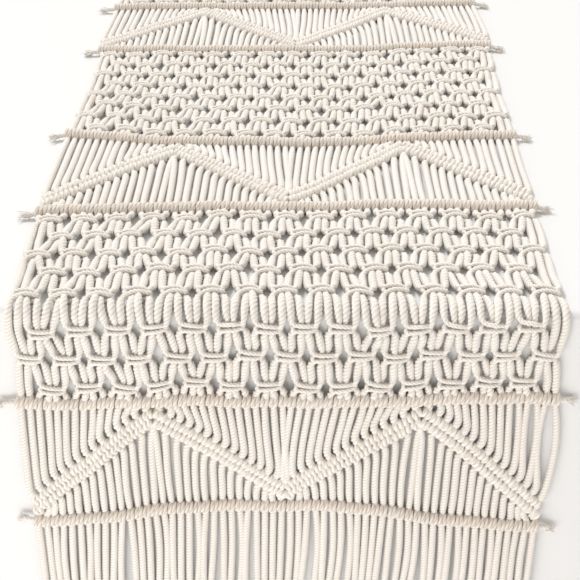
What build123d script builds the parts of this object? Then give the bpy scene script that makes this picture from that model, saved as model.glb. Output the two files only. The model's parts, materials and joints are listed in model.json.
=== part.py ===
from build123d import *
import os
from math import atan2, cos, degrees, hypot

# A table runner knotted from thick cotton cord. Sixty cords run its whole length.
# Every so often they are all hitched over a crosswise holding cord, which makes a round bar.
# Between the bars they are in turn a zigzag panel and an open net of square knots.
# Both ends hang over the table's edges and finish in a fringe.
# X runs across the runner, Y along it and Z up. The origin is on the table top, under its middle.
# The underside of the middle span is the plane Z = 0. Units are millimetres.

# ---- driving dimensions ----
CORD_DIAMETER = 4.0
CORD_COUNT = 60
CORD_PITCH = 5.1
RUNNER_WIDTH = 305.0

BAR_DIAMETER = 8.4
BAR_LENGTH = 308.0
BAR_BORE_DIAMETER = 4.6
HOLDING_CORD_DIAMETER = 4.4
HOLDING_CORD_LENGTH = 332.0

PANEL_LENGTH = 88.0
NET_LENGTH = 164.0
PANEL_COUNT = 7
FRINGE_LENGTH = 115.0
HANGING_NET_LENGTH = 54.0

RIB_DIAMETER = 5.6
RIB_INSET = 7.5
NET_THICKNESS = 8.8
KNOT_ROWS = 8
CORDS_PER_KNOT = 4
EYE_WIDTH = 6.0
EYE_LENGTH = 12.0

CLEARANCE = 0.3

# ---- worked out from them ----
BAR_RADIUS = BAR_DIAMETER / 2
NET_COUNT = PANEL_COUNT - 1
BAR_SPAN = PANEL_COUNT * PANEL_LENGTH + NET_COUNT * NET_LENGTH
FIRST_BAR = -BAR_SPAN / 2
REPEAT = PANEL_LENGTH + NET_LENGTH
FOLD = BAR_SPAN / 2 - PANEL_LENGTH - HANGING_NET_LENGTH
KNOT_PITCH = CORDS_PER_KNOT * CORD_PITCH
FRONT_FOLD_LINE = Axis((0, -FOLD, 0), (1, 0, 0))
BACK_FOLD_LINE = Axis((0, FOLD, 0), (-1, 0, 0))


def hang(flat_piece, station):
    """Turn a piece that is drawn flat down over the table's edge, if its station is past it."""
    if station < -FOLD:
        return flat_piece.rotate(FRONT_FOLD_LINE, 90)
    if station > FOLD:
        return flat_piece.rotate(BACK_FOLD_LINE, 90)
    return flat_piece


def save(name, solids, station=0.0):
    """Hang a sub-part's solids if they are past the fold, and write them as one node."""
    pieces = [hang(solid, station) for solid in solids]
    node = pieces[0] if len(pieces) == 1 else Compound(children=pieces)
    node.label = name
    export_step(node, f"parts/{name}.step")


def crosswise_rod(diameter, length, station, height):
    return Pos(0, station, height) * Cylinder(diameter / 2, length, rotation=(0, 90, 0))


def hitch_bar(station):
    """The row of double half hitches, wrapped side by side round the holding cord."""
    wraps = crosswise_rod(BAR_DIAMETER, BAR_LENGTH, station, BAR_RADIUS)
    bore = crosswise_rod(BAR_BORE_DIAMETER, BAR_LENGTH, station, BAR_RADIUS)
    return wraps - bore


def holding_cord(station):
    """The crosswise cord inside a bar, with a short cut tail past each end."""
    return crosswise_rod(HOLDING_CORD_DIAMETER, HOLDING_CORD_LENGTH, station, BAR_RADIUS)


# ---- zigzag panels ----
QUARTER = RUNNER_WIDTH / 4
RIB_RISE = PANEL_LENGTH - BAR_DIAMETER - 2 * RIB_INSET
RIB_SLOPE = atan2(RIB_RISE, QUARTER)
ROW_OFFSET = (RIB_DIAMETER + CLEARANCE) / 2 / cos(RIB_SLOPE)
RIB_HALF_BAND = (RIB_DIAMETER + CLEARANCE / 2) / cos(RIB_SLOPE)


def rib_corners(first_bar):
    """The zigzag's middle line: low at both sides and the middle, high at the quarter points."""
    low = first_bar + BAR_RADIUS + RIB_INSET
    heights = [low, low + RIB_RISE, low, low + RIB_RISE, low]
    return [(-RUNNER_WIDTH / 2 + step * QUARTER, height) for step, height in enumerate(heights)]


def rib_leg(start, end, shift):
    """One straight leg of one row of hitches, mitred where it meets the next leg."""
    middle_x = (start[0] + end[0]) / 2
    middle_y = (start[1] + end[1]) / 2 + shift
    lean = degrees(atan2(end[1] - start[1], end[0] - start[0]))
    length = hypot(end[0] - start[0], end[1] - start[1]) + 2 * RIB_DIAMETER
    place = Pos(middle_x, middle_y, RIB_DIAMETER / 2) * Rot(0, 0, lean) * Rot(0, 90, 0)
    rod = place * Cylinder(RIB_DIAMETER / 2, length)
    mitre_width = end[0] - start[0] - CLEARANCE
    mitre = Pos(middle_x, middle_y, RIB_DIAMETER / 2) * Box(mitre_width, 2 * length, 2 * RIB_DIAMETER)
    return rod & mitre


def zigzag_ribs(first_bar):
    """Two rows of diagonal double half hitches, side by side."""
    corners = rib_corners(first_bar)
    legs = []
    for shift in (-ROW_OFFSET, ROW_OFFSET):
        for start, end in zip(corners, corners[1:]):
            legs.append(rib_leg(start, end, shift))
    return legs


def window(points):
    """The flat layer of upright cords that fills one window of the zigzag."""
    return extrude(Polygon(*points, align=None), amount=CORD_DIAMETER)


def upright_cords(first_bar):
    """Five windows: one under each peak, one between the peaks and half a one at each side."""
    low = first_bar + BAR_RADIUS + CLEARANCE
    high = first_bar + PANEL_LENGTH - BAR_RADIUS - CLEARANCE
    corners = rib_corners(first_bar)
    reach = RIB_HALF_BAND + CLEARANCE
    peak = corners[1][1] - reach
    valley = corners[0][1] + reach
    half_base = QUARTER * (peak - low) / RIB_RISE
    half_mouth = QUARTER * (high - valley) / RIB_RISE
    windows = []
    for side in (-1, 1):
        middle = side * QUARTER
        windows.append(window([(middle - half_base, low), (middle + half_base, low), (middle, peak)]))
    windows.append(window([(0, valley), (half_mouth, high), (-half_mouth, high)]))
    edge = RUNNER_WIDTH / 2
    left = [(-edge, valley), (half_mouth - edge, high), (-edge, high)]
    right = [(edge, valley), (edge, high), (edge - half_mouth, high)]
    windows.append(window(left))
    windows.append(window(right))
    return windows


# ---- nets of square knots ----
def eye(x, y):
    """A diamond opening between two square knots."""
    tips = [(x, y - EYE_LENGTH / 2), (x + EYE_WIDTH / 2, y), (x, y + EYE_LENGTH / 2), (x - EYE_WIDTH / 2, y)]
    return Wire.make_polygon([Vector(tip_x, tip_y, 0) for tip_x, tip_y in tips])


def knot_net(first_bar):
    """A flat slab as thick as the knots, open at the eyes. Every other row shifts by half a knot."""
    start = first_bar + BAR_RADIUS + CLEARANCE
    end = first_bar + NET_LENGTH - BAR_RADIUS - CLEARANCE
    row_pitch = (end - start) / KNOT_ROWS
    knots_per_row = CORD_COUNT // CORDS_PER_KNOT
    eyes = []
    for row in range(KNOT_ROWS):
        gaps = knots_per_row - 1 + row % 2
        for gap in range(gaps):
            x = (gap - (gaps - 1) / 2) * KNOT_PITCH
            eyes.append(eye(x, start + (row + 0.5) * row_pitch))
    edge = RUNNER_WIDTH / 2
    corners = [(-edge, start), (edge, start), (edge, end), (-edge, end)]
    outline = Wire.make_polygon([Vector(x, y, 0) for x, y in corners])
    return extrude(Face(outline, eyes), amount=NET_THICKNESS, dir=(0, 0, 1))


def net_beyond(net, line, side):
    """The part of a net on one side of a fold line, clear of the line itself."""
    middle = line + side * (CLEARANCE + NET_LENGTH / 2)
    return net & (Pos(0, middle, 0) * Box(2 * RUNNER_WIDTH, NET_LENGTH, 4 * NET_THICKNESS))


def fringe(bar, direction):
    """The free ends of the sixty cords, below an end bar."""
    middle = bar + direction * (BAR_RADIUS + CLEARANCE + FRINGE_LENGTH / 2)
    tails = []
    for cord in range(CORD_COUNT):
        x = (cord - (CORD_COUNT - 1) / 2) * CORD_PITCH
        place = Pos(x, middle, CORD_DIAMETER / 2) * Rot(90, 0, 0)
        tails.append(place * Cylinder(CORD_DIAMETER / 2, FRINGE_LENGTH))
    return tails


os.makedirs("parts", exist_ok=True)

for panel in range(PANEL_COUNT):
    first = FIRST_BAR + panel * REPEAT
    for number, bar in enumerate((first, first + PANEL_LENGTH)):
        label = f"{2 * panel + number + 1:02d}"
        save(f"hitch_bar_{label}", [hitch_bar(bar)], bar)
        save(f"holding_cord_{label}", [holding_cord(bar)], bar)
    panel_middle = first + PANEL_LENGTH / 2
    save(f"zigzag_ribs_{panel + 1}", zigzag_ribs(first), panel_middle)
    save(f"upright_cords_{panel + 1}", upright_cords(first), panel_middle)

for number in range(1, NET_COUNT + 1):
    first = FIRST_BAR + PANEL_LENGTH + (number - 1) * REPEAT
    net = knot_net(first)
    if number == 1:
        save("knot_net_1_top", [net_beyond(net, -FOLD, 1)])
        save("knot_net_1_drop", [net_beyond(net, -FOLD, -1)], first)
    elif number == NET_COUNT:
        save(f"knot_net_{number}_top", [net_beyond(net, FOLD, -1)])
        save(f"knot_net_{number}_drop", [net_beyond(net, FOLD, 1)], first + NET_LENGTH)
    else:
        save(f"knot_net_{number}", [net])

save("front_fringe", fringe(FIRST_BAR, -1), FIRST_BAR)
save("back_fringe", fringe(-FIRST_BAR, 1), -FIRST_BAR)
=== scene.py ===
import json
import math

import bpy
import numpy as np
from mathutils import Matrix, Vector


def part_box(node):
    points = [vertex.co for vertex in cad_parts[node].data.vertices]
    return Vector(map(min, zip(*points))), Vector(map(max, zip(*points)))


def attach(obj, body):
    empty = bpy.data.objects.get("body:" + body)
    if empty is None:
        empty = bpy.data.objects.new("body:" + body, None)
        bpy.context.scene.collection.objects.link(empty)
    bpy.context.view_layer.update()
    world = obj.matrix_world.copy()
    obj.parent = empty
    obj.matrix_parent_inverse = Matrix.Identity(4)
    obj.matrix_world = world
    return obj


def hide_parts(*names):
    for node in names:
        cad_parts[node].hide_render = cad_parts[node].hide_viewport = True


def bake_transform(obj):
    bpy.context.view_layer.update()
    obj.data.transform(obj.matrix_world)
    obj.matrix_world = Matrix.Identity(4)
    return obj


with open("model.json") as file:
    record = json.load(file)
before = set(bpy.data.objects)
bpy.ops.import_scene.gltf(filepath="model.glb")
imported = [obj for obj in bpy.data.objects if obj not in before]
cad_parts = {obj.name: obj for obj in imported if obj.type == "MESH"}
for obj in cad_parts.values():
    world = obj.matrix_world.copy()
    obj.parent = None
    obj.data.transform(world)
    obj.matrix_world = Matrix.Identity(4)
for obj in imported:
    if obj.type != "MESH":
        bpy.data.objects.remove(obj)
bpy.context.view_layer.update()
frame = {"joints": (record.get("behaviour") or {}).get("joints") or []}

# A macrame table runner, knotted from sixty cotton cords.
# It is drawn flat and then draped. A point of the flat runner is (across, along, height):
# across and along are measured on the cloth, and height is above its underside.
# Lengths are in millimetres until a mesh is written.
MM = 0.001

# ---- the cord ----
LOOSE = 2.45  # radius of a cord that hangs free, over the crests of its plies
SLACK = 2.75  # radius where it bulges between two knots
TIGHT = 1.4  # radius where it is pulled into a hitch or a knot
LAY = 6.9  # length of one full turn of its three plies
PULLED_LAY = 12.0  # and the same where a wrap is pulled tight
GROOVE = 0.76  # radius in the groove between two plies, as a share of the radius
PRESSED = 0.91  # and the same where a wrap is pulled so tight that the grooves close
COLUMNS = 6  # mesh columns round a cord: a crest and a groove for each ply
PLIES = 3
MAP_LENGTH = 10  # length of cord for one unit of the map that the material reads

# ---- sizes that the frame gives ----
FOLD = abs(frame["joints"][0]["pos_m"][1]) / MM
EDGE_RADIUS = 4.0  # how softly the cloth bends over the table's edge


def middle(node):
    low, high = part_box(node)
    return (low + high) / 2 / MM


def station(node):
    """How far along the flat runner a piece lies, also when it hangs past the fold."""
    place = middle(node)
    if abs(place.y) > FOLD:
        return math.copysign(FOLD - place.z, place.y)
    return place.y


def reach_across(node):
    low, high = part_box(node)
    return (high.x - low.x) / MM


BARS = {number: station(f"hitch_bar_{number:02d}") for number in range(1, 15)}
BAR_LENGTH = reach_across("hitch_bar_01")
TAIL_LENGTH = (reach_across("holding_cord_01") - BAR_LENGTH) / 2
WIDTH = reach_across("knot_net_2")
CORDS = 60
PITCH = 5.1  # from one cord to the next
BAR_HEIGHT = middle("hitch_bar_07").z
FRINGE_LENGTH = (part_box("front_fringe")[1].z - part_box("front_fringe")[0].z) / MM


def lane(cord):
    """Where a cord of the runner lies across it, before any knot moves it."""
    return (cord - (CORDS - 1) / 2) * PITCH


def bar_lane(cord):
    """Where it lies at a bar, which is a little wider than the cloth between the bars."""
    return lane(cord) * BAR_LENGTH / WIDTH


# ---- the drape ----
def smooth(value):
    share = np.clip(value, 0, 1)
    return share * share * (3 - 2 * share)


# How far each bar strays along the runner, at seven places from its left end to its right end.
STRAYS = np.array([
    (-10, -6, 3, 5, 3, -5, -12), (-8, -7, -5, -2, -5, 3, -3), (-12, -4, -3, -2, 1, 3, 2),
    (12, 1, 0, -1, 1, 11, 15), (-5, -3, -1, -2, 0, 7, 14), (1, 4, 6, 6, 8, 12, 20),
    (3, 1, 0, -1, 1, 4, 6), (2, -1, -2, -1, 1, 3, 3), (-2, -1, 1, 2, 1, -1, -3),
    (1, 2, 2, 0, -2, -2, 0), (-3, -1, 1, 1, 0, 2, 3), (0, -2, -2, 0, 1, 2, 1),
    (3, 2, -1, -2, -1, 2, 4), (6, 3, 0, -2, 0, 3, 7),
])


def spline_weights(t):
    """Six times the weights of four neighbouring points on a uniform cubic B-spline."""
    return [(1 - t) ** 3, 3 * t**3 - 6 * t**2 + 4, -3 * t**3 + 3 * t**2 + 3 * t + 1, t**3]


def stray(across, along):
    """How far a point of the cloth strays, smoothly between the bars and across them."""
    spans = STRAYS.shape[1] - 1
    place = np.clip(across / BAR_LENGTH + 0.5, 0, 1) * spans
    column = np.minimum(np.floor(place), spans - 1).astype(int)
    t = place - column
    row = np.interp(along, list(BARS.values()), np.arange(len(BARS)))
    lower = np.minimum(np.floor(row), len(BARS) - 2).astype(int)
    share = smooth(row - lower)
    padded = np.concatenate([STRAYS[:, :1], STRAYS, STRAYS[:, -1:]], axis=1)
    weights = spline_weights(t)
    low = sum(w * padded[lower, column + tap] for tap, w in enumerate(weights)) / 6
    high = sum(w * padded[lower + 1, column + tap] for tap, w in enumerate(weights)) / 6
    return low * (1 - share) + high * share


def settle(points):
    """The small waves of hand-knotted cloth that has been laid out, as a shift within the cloth."""
    across, along, height = points.T
    sway = 0.9 * np.sin(along / 61 + 0.7) + 0.7 * np.sin(along / 23 + across / 90)
    at_edge = np.exp(-(((abs(along) - FOLD) / 22) ** 2))
    sway += 2.5 * np.sign(across) * at_edge * smooth(abs(across) / 150)
    wave = stray(across, along) + 0.8 * np.sin(across / 17 - along / 140)
    wave += 0.5 * np.sin(across / 7.5 + along / 31)
    # Knots near the table's edge settle past it, more so on the right.
    near_edge = np.exp(-(((abs(along) - FOLD) / 25) ** 2))
    wave += np.sign(along) * near_edge * (1.5 + 2.5 * smooth(across / 60))
    ripple = 1.0 * (1 + np.sin(across / 42 + along / 60)) * smooth((abs(along) - FOLD - 10) / 40)
    return np.stack([across + sway, along + wave, height + ripple], axis=1)


def drape(points):
    """Lay points of the flat runner on the table, and hang what is past the table's edges."""
    across, along, height = points.T
    past = abs(along) - FOLD
    angle = np.clip((past + EDGE_RADIUS) / (2 * EDGE_RADIUS), 0, 1) * math.pi / 2
    turned_out = FOLD - EDGE_RADIUS + (EDGE_RADIUS + height) * np.sin(angle)
    turned_up = -EDGE_RADIUS + (EDGE_RADIUS + height) * np.cos(angle)
    out = np.where(past < -EDGE_RADIUS, abs(along), turned_out)
    up = np.where(past > EDGE_RADIUS, -past, turned_up)
    return np.stack([across, np.sign(along) * out, up], axis=1)


# ---- cords as meshes ----
def curve_through(controls, steps=8):
    """A smooth line, as a uniform cubic B-spline, near rows of (across, along, height, radius)."""
    rows = np.asarray(controls, float)
    ends = np.concatenate([[2 * rows[0] - rows[1]], rows, [2 * rows[-1] - rows[-2]]])
    weights = spline_weights((np.arange(steps) / steps)[:, None])
    spans = [sum(w * p for w, p in zip(weights, ends[i:i + 4])) / 6 for i in range(len(ends) - 3)]
    return np.concatenate(spans + [rows[-1:]])


def evenly(line, spacing):
    """The line again in even steps, with its length so far as one more column."""
    gaps = np.linalg.norm(np.diff(line[:, :3], axis=0), axis=1)
    run = np.concatenate([[0], np.cumsum(gaps)])
    count = max(3, int(round(run[-1] / spacing)) + 1)
    wanted = np.linspace(0, run[-1], count)
    return np.stack([np.interp(wanted, run, column) for column in [*line.T, run]], axis=1)


def carried_sides(tangents):
    """A sideways direction for each ring, carried along the cords without twisting."""
    side = np.cross(tangents[:, 0], [0.31, 0.52, 0.79])
    sides = np.empty_like(tangents)
    for ring in range(tangents.shape[1]):
        ahead = tangents[:, ring]
        side = side - ahead * (side * ahead).sum(1, keepdims=True)
        side /= np.linalg.norm(side, axis=1, keepdims=True)
        sides[:, ring] = side
    return sides


def ring_faces(rings, columns):
    """Triangles between rings, split so that the cut follows the surface, and the two end caps."""
    here = np.arange(rings - 1)[:, None] * columns + np.arange(columns)
    beside = np.arange(rings - 1)[:, None] * columns + (np.arange(columns) + 1) % columns
    lower = np.stack([here, beside, here + columns], axis=2).reshape(-1, 3)
    upper = np.stack([beside, beside + columns, here + columns], axis=2).reshape(-1, 3)
    turn = np.arange(columns)
    start, end = rings * columns, rings * columns + 1
    last = (rings - 1) * columns
    near_cap = np.stack([np.full(columns, start), (turn + 1) % columns, turn], axis=1)
    far_cap = np.stack([np.full(columns, end), last + turn, last + (turn + 1) % columns], axis=1)
    return np.concatenate([lower, upper, near_cap, far_cap])


def ring_corners(rings, columns):
    """The (round, along) step of each face corner above, for the map that the material reads."""
    ring = np.repeat(np.arange(rings - 1), columns)
    turn = np.tile(np.arange(columns), rings - 1)
    lower = [(turn, ring), (turn + 1, ring), (turn, ring + 1)]
    upper = [(turn + 1, ring), (turn + 1, ring + 1), (turn, ring + 1)]
    caps = np.zeros((2 * columns * 3, 2), int)
    caps[3 * columns:, 1] = rings - 1
    sides = []
    for half in (lower, upper):
        sides.append(np.stack([np.stack(corner, axis=1) for corner in half], axis=1).reshape(-1, 2))
    return np.concatenate([*sides, caps])


class Bundle:
    """Cords that make one piece. They are collected as lines and then written as one mesh."""

    def __init__(self, name, spacing, seed, groove=GROOVE, lay=LAY):
        self.name = name
        self.spacing = spacing
        self.draws = np.random.default_rng(seed)
        self.lines = []
        self.groove = groove
        self.lay = lay

    def add(self, controls):
        """One cord, by its way through the flat runner: rows of (across, along, height, radius)."""
        line = curve_through(controls)
        place = drape(settle(line[:, :3]))
        self.lines.append(evenly(np.concatenate([place, line[:, 3:]], axis=1), self.spacing))

    def write(self, material):
        """All the cords as one mesh: rings of crests and grooves that turn with the lay."""
        longest = max(len(line) for line in self.lines)
        shape = (len(self.lines), longest, 3)
        tangents = np.empty(shape)
        for row, line in enumerate(self.lines):
            ahead = np.gradient(line[:, :3], axis=0)
            ahead /= np.linalg.norm(ahead, axis=1, keepdims=True) + 1e-12
            tangents[row, :len(line)] = ahead
            tangents[row, len(line):] = ahead[-1]
        sides = carried_sides(tangents)
        points, faces, maps, offset = [], [], [], 0
        turn = np.arange(COLUMNS) * 2 * math.pi / COLUMNS
        share = np.where(np.arange(COLUMNS) % 2, self.groove, 1.0)
        for row, line in enumerate(self.lines):
            rings = len(line)
            side, ahead = sides[row, :rings], tangents[row, :rings]
            other = np.cross(ahead, side)
            angle = turn + (self.draws.uniform(0, 6.28) + 2 * math.pi * line[:, 4] / self.lay)[:, None]
            radius = line[:, 3][:, None] * share
            ring = line[:, None, :3]
            ring = ring + side[:, None] * (radius * np.cos(angle))[..., None]
            ring = ring + other[:, None] * (radius * np.sin(angle))[..., None]
            points += [ring.reshape(-1, 3), line[:1, :3], line[-1:, :3]]
            faces.append(ring_faces(rings, COLUMNS) + offset)
            corner = ring_corners(rings, COLUMNS)
            along = line[corner[:, 1], 4] / MAP_LENGTH + self.draws.uniform(0, 900)
            maps.append(np.stack([corner[:, 0] / COLUMNS, along], axis=1))
            offset += rings * COLUMNS + 2
        points = np.concatenate(points) * MM
        return mesh_piece(self.name, points, np.concatenate(faces), np.concatenate(maps), material)


def mesh_piece(name, points, faces, corners, material):
    """A piece from points in metres, triangles, and the map of their corners."""
    mesh = bpy.data.meshes.new(name)
    mesh.vertices.add(len(points))
    mesh.vertices.foreach_set("co", points.astype(np.float32).ravel())
    mesh.loops.add(faces.size)
    mesh.loops.foreach_set("vertex_index", faces.astype(np.int32).ravel())
    mesh.polygons.add(len(faces))
    mesh.polygons.foreach_set("loop_start", np.arange(0, faces.size, 3, dtype=np.int32))
    mesh.polygons.foreach_set("use_smooth", np.ones(len(faces), bool))
    layer = mesh.uv_layers.new(name="cord_run")
    layer.data.foreach_set("uv", corners.astype(np.float32).ravel())
    mesh.update(calc_edges=True)
    mesh.validate()
    mesh.materials.append(material)
    piece = bpy.data.objects.new(name, mesh)
    bpy.context.scene.collection.objects.link(piece)
    return piece


# ---- materials ----
class Value:
    """A shader socket that can be used in ordinary sums."""

    def __init__(self, tree, socket):
        self.tree = tree
        self.socket = socket

    def maths(self, operation, *others):
        node = self.tree.nodes.new("ShaderNodeMath")
        node.operation = operation
        for slot, item in zip(node.inputs, (self, *others)):
            plug(self.tree, slot, item)
        return Value(self.tree, node.outputs[0])

    def __add__(self, other):
        return self.maths("ADD", other)

    __radd__ = __add__

    def __mul__(self, other):
        return self.maths("MULTIPLY", other)

    __rmul__ = __mul__

    def __sub__(self, other):
        return self.maths("SUBTRACT", other)

    def __rsub__(self, other):
        return (self * -1) + other

    def cosine(self):
        return self.maths("COSINE")


def plug(tree, slot, item):
    if isinstance(item, Value):
        tree.links.new(item.socket, slot)
    else:
        slot.default_value = item


class Material:
    """A material that is built up from nodes."""

    def __init__(self, name):
        self.made = bpy.data.materials.new(name)
        self.made.use_nodes = True
        self.tree = self.made.node_tree
        self.shader = self.tree.nodes["Principled BSDF"]

    def node(self, kind, settings=(), inputs=(), output=0):
        made = self.tree.nodes.new(kind)
        for key, value in dict(settings).items():
            setattr(made, key, value)
        for key, item in dict(inputs).items():
            plug(self.tree, made.inputs[key], item)
        return Value(self.tree, made.outputs[output])

    def mix(self, share, first, second):
        made = self.tree.nodes.new("ShaderNodeMix")
        made.data_type = "RGBA"
        plug(self.tree, made.inputs[0], share)
        plug(self.tree, made.inputs[6], first)
        plug(self.tree, made.inputs[7], second)
        return Value(self.tree, made.outputs[2])

    def set(self, **inputs):
        for key, item in inputs.items():
            plug(self.tree, self.shader.inputs[key.replace("_", " ")], item)


def cotton(name, light, dark):
    """Cotton cord: pale crests, painted shade that darkens the grooves between the plies, and fine
    fibres along them.
    """
    m = Material(name)
    run = m.node("ShaderNodeUVMap", {"uv_map": "cord_run"})
    split = m.tree.nodes.new("ShaderNodeSeparateXYZ")
    plug(m.tree, split.inputs[0], run)
    turn, along = Value(m.tree, split.outputs[0]), Value(m.tree, split.outputs[1])
    # The crests' profile round the plies: it shapes the bump, and in the colour it paints shade into
    # the grooves.
    crest = (turn * (2 * math.pi * PLIES)).cosine() * 0.5 + 0.5
    place = m.node("ShaderNodeTexCoord", output=3)
    streak = m.node("ShaderNodeCombineXYZ", inputs={0: turn * 34, 1: along * 2.2})
    fibres = m.node("ShaderNodeTexNoise", inputs={"Vector": streak, "Scale": 1.0, "Detail": 3.0})
    strand = m.node("ShaderNodeCombineXYZ", inputs={0: along * 0.012})
    batch = m.node("ShaderNodeTexNoise", inputs={"Vector": strand, "Scale": 3.0, "Detail": 1.0})
    cloud = m.node("ShaderNodeTexNoise", inputs={"Vector": place, "Scale": 14.0, "Detail": 2.0})
    fuzz = m.node("ShaderNodeTexNoise", inputs={"Vector": place, "Scale": 1900.0, "Detail": 2.0})
    # The colour's mix: painted shade in the grooves, with streaks of fibre, a tone for each cord and
    # slow clouds of tone.
    tone_and_painted_shade = crest * 0.62 + fibres * 0.34 + batch * 0.22 + cloud * 0.22 - 0.18
    relief = crest * 0.25 + fibres * 0.6 + fuzz * 0.35
    bump = m.node("ShaderNodeBump", inputs={"Height": relief, "Strength": 0.55, "Distance": 0.0004})
    m.set(Base_Color=m.mix(tone_and_painted_shade, dark, light), Roughness=fibres * 0.15 + 0.8, Normal=bump)
    m.set(Sheen_Weight=0.25, Sheen_Roughness=0.6, Specular_IOR_Level=0.2)
    return m.made


# Each cotton's second colour is the painted shade in its grooves, and also the darker end of its fibres
# and tones.
CORD = cotton("cotton_cord", (0.975, 0.965, 0.945, 1), (0.73, 0.64, 0.54, 1))
# The hitch bars get a darker copy of the cotton: painted shade on the bars.
SHADED_BAR_CORD = cotton("cotton_hitches_painted_shade", (0.92, 0.885, 0.84, 1), (0.62, 0.51, 0.405, 1))
FRINGE_CORD = cotton("cotton_fringe", (0.965, 0.95, 0.928, 1), (0.73, 0.64, 0.54, 1))


# ---- hitches ----
BAR_RING = 2.75  # how far the middle of a wrap lies from the middle of the holding cord

BAR_TUCK = 2.4  # height of a working cord's middle where it ends inside a bar

# A hitch's turns round its holding cord, in degrees: 450 and 810 are on top, and 630 is its middle.
HITCH_TURNS = np.arange(225, 1036, 45)
HITCH_MIDDLE = 630
SPLINE_SHRINK = 0.902  # a smooth line near eight points a turn lies this much nearer to the middle
HITCH_REACH = 0.62  # how far a hitch slides either way along the holding cord, in wrap pitches


def hitch(centre, axis, down, ring_radius, grip, gap, draws):
    """A double half hitch: two turns round a holding cord. It starts and ends behind it."""
    rows = []
    spread = ring_radius / SPLINE_SHRINK
    lean = draws.uniform(-0.15, 0.15) * gap
    for angle in HITCH_TURNS:
        turn = math.radians(angle)
        share = max(-HITCH_REACH, min(HITCH_REACH, (angle - HITCH_MIDDLE) / 360))
        slide = gap * share + lean * math.sin(turn)
        out = spread * math.cos(turn)
        up = spread * math.sin(turn)
        rows.append([
            centre[0] + axis[0] * slide + down[0] * out,
            centre[1] + axis[1] * slide + down[1] * out,
            centre[2] + up,
            grip,
        ])
    return rows


def hitch_bar(number, spacing):
    """One crosswise bar: each cord in turn makes a double half hitch over the holding cord."""
    name = f"hitch_bar_{number:02d}"
    bar = Bundle(name + "_hitches", spacing, 100 + number, PRESSED, PULLED_LAY)
    wrap_gap = BAR_LENGTH / CORDS / 2
    for cord in range(CORDS):
        across = (cord - (CORDS - 1) / 2) * BAR_LENGTH / CORDS
        shift = bar.draws.normal(0, 0.12, 2)
        centre = (across, BARS[number] + shift[0], BAR_HEIGHT + 0.15 * shift[1])
        size = TIGHT * bar.draws.uniform(0.97, 1.08)
        bar.add(hitch(centre, (1, 0), (0, -1), BAR_RING, size, wrap_gap, bar.draws))
    piece = bar.write(SHADED_BAR_CORD)
    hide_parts(name)
    return piece


COMBED_STRANDS = 34  # at each end of a holding cord


def holding_cord(number, spacing):
    """The cord inside a bar, and its two short tails, whose ends are combed out."""
    name = f"holding_cord_{number:02d}"
    cord = Bundle(name + "_tails", spacing, 200 + number)
    half = BAR_LENGTH / 2
    tips = []
    for side in (-1, 1):
        rise = cord.draws.uniform(-1, 1, 2)
        length = TAIL_LENGTH * cord.draws.uniform(0.45, 0.7)
        along = BARS[number] - 1.8 + 1.6 * rise[0]
        tip = np.array([side * (half + length), along, 2.6 + 0.4 * rise[1]])
        tips.append(tip)
        for _ in range(COMBED_STRANDS):
            root = tip + cord.draws.normal(0, 0.8, 3) - np.array([side * 2.0, 0, 0])
            spray = cord.draws.normal(0, 1, (2, 3)) * [0.8, 1.1, 0.9]
            out = cord.draws.uniform(3.0, 6.0)
            bend = root + [side * out * 0.5, 0.6 * spray[0, 1], spray[0, 2] * 0.4]
            end = root + [side * out + spray[1, 0], 1.3 * spray[1, 1] - 0.6, spray[1, 2] - 0.5]
            end[2] = max(end[2], 0.5)
            cord.add([[*root, 0.42], [*bend, 0.36], [*end, 0.16]])
    stops = [(-half - 1, 1.9), (-half / 2, 1.6), (0, 1.6), (half / 2, 1.6), (half + 1, 1.9)]
    inside = [[across, BARS[number], BAR_HEIGHT, radius] for across, radius in stops]
    cord.add([[*tips[0], 2.0], *inside, [*tips[1], 2.0]])
    piece = cord.write(CORD)
    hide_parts(name)
    return piece


# ---- zigzag panels ----
QUARTER = WIDTH / 4
RIB_RING = 1.85  # how far the middle of a wrap lies from the middle of a rib's holding cord
RIB_GRIP = 1.45  # radius of the wraps, before they are pressed flat side by side
RIB_CORE = 1.9
RIB_HEIGHT = 3.5
ROW_STEP = 5.6  # from one row of hitches to the next, square to them
RIB_INSET = 11.7  # from a bar's middle to the ribs' middle line at a peak or a valley


def zigzag(panel):
    """The zigzag's corners: low at both sides and the middle, and high at the quarter points."""
    low = BARS[2 * panel - 1] + RIB_INSET
    high = BARS[2 * panel] - RIB_INSET
    return [(-2 * QUARTER + step * QUARTER, high if step % 2 else low) for step in range(5)]


def rib_place(corners, across):
    """The ribs' height at a place across, their direction, and the direction square to them."""
    leg = int(min(3, max(0, (across + 2 * QUARTER) // QUARTER)))
    (left, start), (right, end) = corners[leg], corners[leg + 1]
    run = np.array([right - left, end - start])
    run /= np.linalg.norm(run)
    share = (across - left) / (right - left)
    return start + share * (end - start), run, np.array([run[1], -run[0]])


def ribs_at(corners, cord):
    """Where a cord crosses the upper and the lower row of hitches."""
    home = lane(cord)
    along, run, down = rib_place(corners, home)
    half_row = np.array([0, ROW_STEP / 2 / run[0]])
    place = np.array([home, along])
    return place + half_row, place - half_row, run, down


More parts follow.
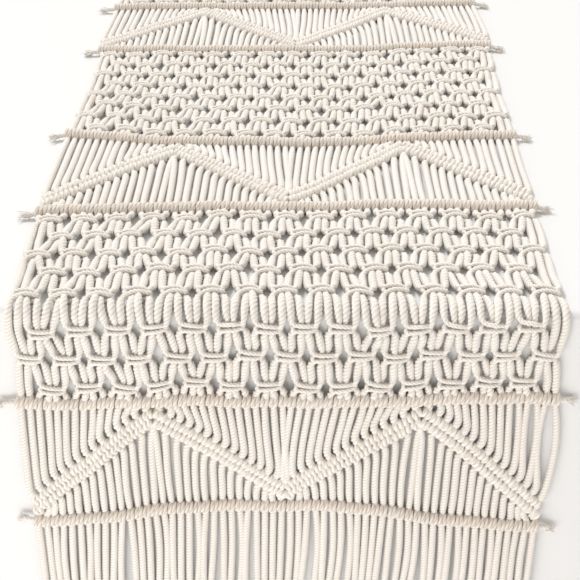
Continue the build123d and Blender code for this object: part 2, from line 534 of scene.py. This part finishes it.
def zigzag_ribs(panel, spacing):
    """The two rows of slanting double half hitches."""
    name = f"zigzag_ribs_{panel}"
    ribs = Bundle(name + "_hitches", spacing, 300 + panel, PRESSED, PULLED_LAY)
    corners = zigzag(panel)
    for row in (-1, 1):  # the cords that the hitches go round
        inside = []
        for across in np.linspace(-2 * QUARTER, 2 * QUARTER, 49):
            along, run, _ = rib_place(corners, across)
            inside.append([across, along + row * ROW_STEP / 2 / run[0], RIB_HEIGHT, RIB_CORE])
        ribs.add(inside)
    for cord in range(CORDS):
        upper, lower, run, down = ribs_at(corners, cord)
        gap = math.copysign(PITCH / 2 / run[0], run[1])  # the legs mirror each other
        for place in (upper, lower):
            nudge = ribs.draws.normal(0, 0.15, 2)
            centre = (place[0] + nudge[0], place[1] + nudge[1], RIB_HEIGHT)
            size = RIB_GRIP * ribs.draws.uniform(1.08, 1.22)
            ribs.add(hitch(centre, run, down, RIB_RING, size, gap, ribs.draws))
    piece = ribs.write(CORD)
    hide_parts(name)
    return piece


BAR_EXIT = 3.4  # how far from a bar's middle an upright cord comes out of it
RESTING = 2.5  # height of an upright cord's middle
SHORT = 11  # an upright shorter than this has no room to bend
CORNER_REACH = 16  # how far from a corner of the zigzag the leaving cords are set back


def way_in(home, top, upper, down, size, lean, lift, bow, drift):
    """A cord's way from the upper bar down into its hitch on the upper rib."""
    length = top - upper[1]
    entry = upper - down * 3.1
    swell = bow * min(1.0, length / 30)
    way = [[home, top, BAR_TUCK, TIGHT], [home, top - BAR_EXIT, 2.3, size * 0.85]]
    if length > SHORT:
        hip = np.array([entry[0] - down[0] * (1.0 + 0.8 * swell), entry[1] + 5.0])
        for share in (0.3, 0.65):
            spot = np.array([home, top - BAR_EXIT]) * (1 - share) + hip * share
            way.append([spot[0] + lean[1] + drift, spot[1], RESTING + lift[0], size])
        way.append([hip[0] + 0.6 * lean[0], hip[1], 2.9 + lift[1], size * 1.04])
        way.append([entry[0] - down[0] * 1.2, entry[1] + 1.4, 3.2 + lift[1], size * 1.14])
    return way + [[*entry, RESTING, size * 1.15], [*(upper - down * 1.2), 1.5, TIGHT]]


def way_out(home, bottom, lower, run, down, size, lean, lift):
    """A cord's way from its hitch on the lower rib down to the lower bar."""
    length = lower[1] - bottom
    near_corner = QUARTER / 2 - abs((home + 2 * QUARTER) % QUARTER - QUARTER / 2)
    setback = 4.0 * float(smooth(near_corner / CORNER_REACH)) * math.copysign(1, down[0])
    lower = lower - run * setback / run[0]
    leave = lower + down * 3.4
    way = [[*(lower + down * 1.0), 1.5, TIGHT], [*leave, 2.4, size * 0.95]]
    if length > SHORT:
        shoulder = leave + [down[0] * 1.4, down[1] * 2.0]
        way.append([*shoulder, 2.8, size])
        hip = np.array([shoulder[0] * 0.4 + home * 0.6, shoulder[1] - 4.5])
        way.append([*hip, 2.6, size])
        for share in (0.4, 0.75):
            spot = hip * (1 - share) + np.array([home, bottom + BAR_EXIT]) * share
            way.append([spot[0] + lean[2], spot[1], RESTING + lift[1] * 0.6, size])
    return way + [[home, bottom + BAR_EXIT, 2.3, size * 0.9], [home, bottom, BAR_TUCK, TIGHT]]


def upright_cords(panel, spacing, bow):
    """The cords that cross a zigzag panel, from the upper bar into the ribs and on to the lower bar."""
    name = f"upright_cords_{panel}"
    uprights = Bundle(name + "_layer", spacing, 400 + panel)
    corners = zigzag(panel)
    top, bottom = BARS[2 * panel], BARS[2 * panel - 1]
    for cord in range(CORDS):
        upper, lower, run, down = ribs_at(corners, cord)
        home = bar_lane(cord)
        lean = uprights.draws.normal(0, 0.3, 4)
        lift = abs(uprights.draws.normal(0, 0.35, 2))
        size = LOOSE * uprights.draws.uniform(0.95, 1.03)
        # The last few cords at the right of the front panel bow away from each other.
        loose = max(0, cord - (CORDS - 6)) if panel == 1 else 0
        drift = loose * (0.5 if cord % 2 else -0.7)
        uprights.add(way_in(home, top, upper, down, size, lean, lift, bow, drift))
        uprights.add(way_out(home, bottom, lower, run, down, size, lean, lift))
    piece = uprights.write(CORD)
    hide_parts(name)
    return piece


# ---- nets of square knots ----
KNOT_CORDS = 4
KNOT_ROWS = 8
NET_INSET = 13.0  # from the upper bar's middle to the first row of knots
NET_OUTSET = 11.0  # from the last row of knots to the lower bar's middle
SNUG = 1.45  # radius of the strands that cross a knot
CORE = 1.6  # radius of the two cords in its middle
KNOT_FLATNESS = 0.87  # how far a knot is pressed down, as a share of its height as drawn

# The way of each of a knot's four cords through it, from its top to its bottom.
# Rows are (across, along, height, radius), measured from the knot's middle.
CROSSING_CORD = [
    (-7.6, 6.0, 3.4, SLACK), (-7.2, 3.6, 4.6, 2.0), (-5.6, 2.4, 6.4, SNUG), (-2.7, 2.3, 7.3, SNUG),
    (0.0, 2.4, 7.5, SNUG), (2.7, 2.0, 7.2, SNUG), (5.6, 1.6, 5.6, SNUG), (7.2, 0.1, 3.9, SNUG),
    (5.8, -1.2, 5.6, SNUG), (2.7, -1.3, 7.3, SNUG), (0.0, -1.2, 7.5, SNUG), (-2.7, -1.4, 7.2, SNUG),
    (-5.6, -2.1, 5.8, SNUG), (-7.2, -3.8, 4.4, 2.1), (-7.7, -6.4, 3.6, SLACK),
]
BACK_CORD = [
    (7.6, 6.0, 3.8, SLACK), (7.2, 3.8, 5.4, 2.0), (6.4, 2.0, 6.8, 1.6), (5.0, 0.8, 4.6, SNUG),
    (2.6, 1.2, 1.8, SNUG), (-2.6, 1.2, 1.6, SNUG), (-5.6, 1.2, 3.2, SNUG), (-7.0, 0.6, 6.0, SNUG),
    (-6.8, -1.2, 7.0, SNUG), (-5.4, -2.2, 4.4, SNUG), (-2.6, -2.4, 1.8, SNUG), (2.6, -2.4, 1.6, SNUG),
    (5.6, -2.6, 2.8, SNUG), (7.3, -4.0, 3.8, 2.1), (7.7, -6.4, 3.6, SLACK),
]
CORE_CORD = [
    (-2.3, 7.0, 3.8, SLACK), (-1.9, 4.8, 4.2, 2.1), (-1.5, 2.2, 4.4, CORE), (-1.5, 0.0, 4.4, CORE),
    (-1.6, -2.2, 4.6, CORE), (-2.0, -4.4, 5.6, 2.3), (-2.4, -7.2, 5.4, SLACK),
]


def turned(rows, angle, place, scale):
    """A knot's cord way, swung a little and moved to its knot."""
    c, s = math.cos(angle), math.sin(angle)
    out = []
    for across, along, height, radius in rows:
        moved = (across * c - along * s) * scale, (across * s + along * c) * scale
        out.append([place[0] + moved[0], place[1] + moved[1], height * KNOT_FLATNESS, radius])
    return out


def mirrored(rows):
    return [(-across, along, height, radius) for across, along, height, radius in rows]


def knot_net(name, nodes, lower_bar, spacing, seed):
    """Eight rows of square knots. Every other row is shifted by two cords.

    Each cord's way starts in the upper bar, and gathers its part in one knot after another.
    """
    net = Bundle(name, spacing, seed)
    start, end = BARS[lower_bar], BARS[lower_bar + 1]
    step = (end - start - NET_INSET - NET_OUTSET) / (KNOT_ROWS - 1)
    top_row = end - (NET_OUTSET if end > FOLD else NET_INSET)  # no row lies on the back edge
    ways = {cord: [[bar_lane(cord), end, BAR_TUCK, TIGHT]] for cord in range(CORDS)}
    for row in range(KNOT_ROWS):
        along = top_row - row * step
        first = KNOT_CORDS // 2 * (row % 2)
        for edge_cord in [*range(first), *range(CORDS - first, CORDS)]:
            side = -1 if edge_cord < CORDS / 2 else 1
            out = net.draws.uniform(0.2, 1.0) * side
            for share in (0.25, 0.0, -0.25):
                spot = lane(edge_cord) + out * (1 - 8 * share**2)
                ways[edge_cord].append([spot, along + share * step, 2.8, SLACK])
        for left in range(first, CORDS - first, KNOT_CORDS):
            jitter = net.draws.normal(0, 1, 6)
            place = (lane(left) + 1.5 * PITCH + 0.4 * jitter[0], along + 0.7 * jitter[1])
            angle, scale = 0.07 * jitter[2], 1 + 0.03 * jitter[3]
            overlap = 0.5 * jitter[4]
            core = [(a + 0.5 * abs(overlap), b, h + overlap, r) for a, b, h, r in CORE_CORD]
            other = [(a + 0.5 * abs(overlap), b, h - overlap, r) for a, b, h, r in CORE_CORD]
            shapes = [CROSSING_CORD, core, mirrored(other), BACK_CORD]
            for number, shape in enumerate(shapes):
                ways[left + number] += turned(shape, angle, place, scale)
    for cord in range(CORDS):
        ways[cord].append([bar_lane(cord), start, BAR_TUCK, TIGHT])
        net.add(ways[cord])
    piece = net.write(CORD)
    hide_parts(*nodes)
    return piece


# ---- fringe ----
FRINGE_EXIT = 3.6  # how far from the end bar's middle a tail comes out of it
# The first cord of each lock, and the number of cords.
LOCKS = [0, 2, 11, 15, 22, 26, 33, 37, 43, 46, 49, 52, 55, 57, 58, 60]


def fringe(name, bar_number, side, spacing):
    """The free ends of the cords below an end bar. They hang in locks, with gaps between them."""
    tails = Bundle(name + "_cords", spacing, 600 + bar_number)
    bar = BARS[bar_number]
    draws = tails.draws
    for first, after in zip(LOCKS, LOCKS[1:]):
        heart = lane((first + after - 1) / 2)
        swing = draws.normal(0, 1.6)
        for cord in range(first, after):
            home = bar_lane(cord)
            drift = (heart - home) * draws.uniform(0.1, 0.2) + swing + draws.normal(0, 0.8)
            bow = draws.normal(0, 0.9)
            length = FRINGE_LENGTH * draws.uniform(0.95, 1.0)
            way = [[home, bar, BAR_TUCK, TIGHT], [home, bar + side * FRINGE_EXIT, 2.4, LOOSE * 0.92]]
            for share in (0.1, 0.3, 0.6, 0.85, 1.0):
                shift = drift * share**0.8 + bow * math.sin(share * 5)
                height = 2.5 + abs(draws.normal(0, 0.6))
                run = FRINGE_EXIT + share * (length - FRINGE_EXIT)
                way.append([home + shift, bar + side * run, height, LOOSE])
            tails.add(way)
    piece = tails.write(FRINGE_CORD)
    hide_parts(name)
    return piece


# ---- the camera, the light and the table ----
def camera():
    """In front of the hanging end, a little above the table and looking down along it."""
    made = bpy.data.objects.new("camera", bpy.data.cameras.new("camera"))
    made.data.lens = 77.7
    made.data.clip_start = 0.05
    made.location = (0.0122, -FOLD * MM - 0.567, 0.383)
    made.rotation_euler = (math.radians(90 - 33.06), 0, math.radians(0.96))
    bpy.context.scene.collection.objects.link(made)
    bpy.context.scene.camera = made


def plain(name, colour, roughness):
    """A smooth, even finish."""
    m = Material(name)
    m.set(Base_Color=colour, Roughness=roughness)
    return m.made


def slab(name, low, high, material, bevel):
    """A box with eased edges, for the table that the runner lies on and the floor under it."""
    spans = list(zip(low, high))
    points = [(x, y, z) for x in spans[0] for y in spans[1] for z in spans[2]]
    faces = [(0, 1, 3, 2), (4, 6, 7, 5), (0, 4, 5, 1), (2, 3, 7, 6), (0, 2, 6, 4), (1, 5, 7, 3)]
    mesh = bpy.data.meshes.new(name)
    mesh.from_pydata(points, [], faces)
    mesh.materials.append(material)
    made = bpy.data.objects.new(name, mesh)
    bpy.context.scene.collection.objects.link(made)
    ease = made.modifiers.new("eased_edges", "BEVEL")
    ease.width, ease.segments = bevel, 6


def sun(name, place, strength, softness, colour):
    """Even light from the direction of a place. Its softness is how wide it looks, in degrees."""
    made = bpy.data.objects.new(name, bpy.data.lights.new(name, "SUN"))
    made.data.color = colour
    made.data.energy = strength
    made.data.angle = math.radians(softness)
    made.rotation_euler = Vector(place).to_track_quat("Z", "Y").to_euler()
    bpy.context.scene.collection.objects.link(made)


def soft_box(name, place, aim, size, power):
    """A round lamp of that size in metres, which the camera doesn't see."""
    made = bpy.data.objects.new(name, bpy.data.lights.new(name, "AREA"))
    made.data.shape = "DISK"
    made.data.size = size
    made.data.energy = power
    made.location = place
    made.rotation_euler = (Vector(aim) - Vector(place)).to_track_quat("-Z", "Y").to_euler()
    made.visible_camera = False
    bpy.context.scene.collection.objects.link(made)


def studio():
    """Bright even surroundings, a window behind the left, and a lamp low in front."""
    world = bpy.data.worlds.new("studio")
    world.use_nodes = True
    sky = world.node_tree.nodes["Background"]
    sky.inputs["Color"].default_value = (1.0, 0.968, 0.93, 1)
    sky.inputs["Strength"].default_value = 0.76
    bpy.context.scene.world = world
    bpy.context.scene.view_settings.view_transform = "Standard"
    white = plain("pale_table", (0.785, 0.78, 0.775, 1), 0.6)
    edge, floor = FOLD * MM, -0.62
    slab("table_block", (-0.42, -edge, floor), (0.42, edge, -0.0002), white, EDGE_RADIUS * MM)
    grey = plain("pale_floor", (0.68, 0.67, 0.66, 1), 0.7)
    slab("studio_floor", (-6, -6, floor - 0.06), (6, 6, floor), grey, 0.01)
    sun("window", (-0.42, 0.5, 1.0), 2.0, 14, (0.95, 0.98, 1.0))
    soft_box("low_front_light", (-0.45, -1.55, -0.45), (0, -0.66, -0.12), 0.9, 7.5)


# ---- putting it together ----
NEAR, FAR = LAY / 8, LAY / 5  # mesh ring spacing of cords near the front, and further back
NET_SPACING = LAY / 6
camera()
studio()

fringes = {1: fringe("front_fringe", 1, -1, NEAR), 7: fringe("back_fringe", 14, 1, FAR)}
for panel in range(1, 8):
    spacing = NEAR if panel <= 3 else FAR
    first, last = 2 * panel - 1, 2 * panel
    edging = [hitch_bar(first, spacing), holding_cord(first, spacing)]
    edging += [hitch_bar(last, spacing), holding_cord(last, spacing), zigzag_ribs(panel, spacing)]
    if panel in fringes:
        edging.append(fringes[panel])
    uprights = upright_cords(panel, spacing, 3.0 if panel in fringes else 1.0)
    for piece in [uprights, *edging]:
        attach(piece, {1: "front_drop", 7: "back_drop"}.get(panel, "table_span"))

for net in range(2, 6):
    piece = knot_net(f"knot_net_{net}_cords", [f"knot_net_{net}"], 2 * net, NET_SPACING, 500 + net)
    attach(piece, "table_span")

for net, drop, side in ((1, "front_drop", -1), (6, "back_drop", 1)):
    nodes = [f"knot_net_{net}_top", f"knot_net_{net}_drop"]
    piece = knot_net(f"knot_net_{net}_cords", nodes, 2 * net, NET_SPACING, 500 + net)
    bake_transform(piece)
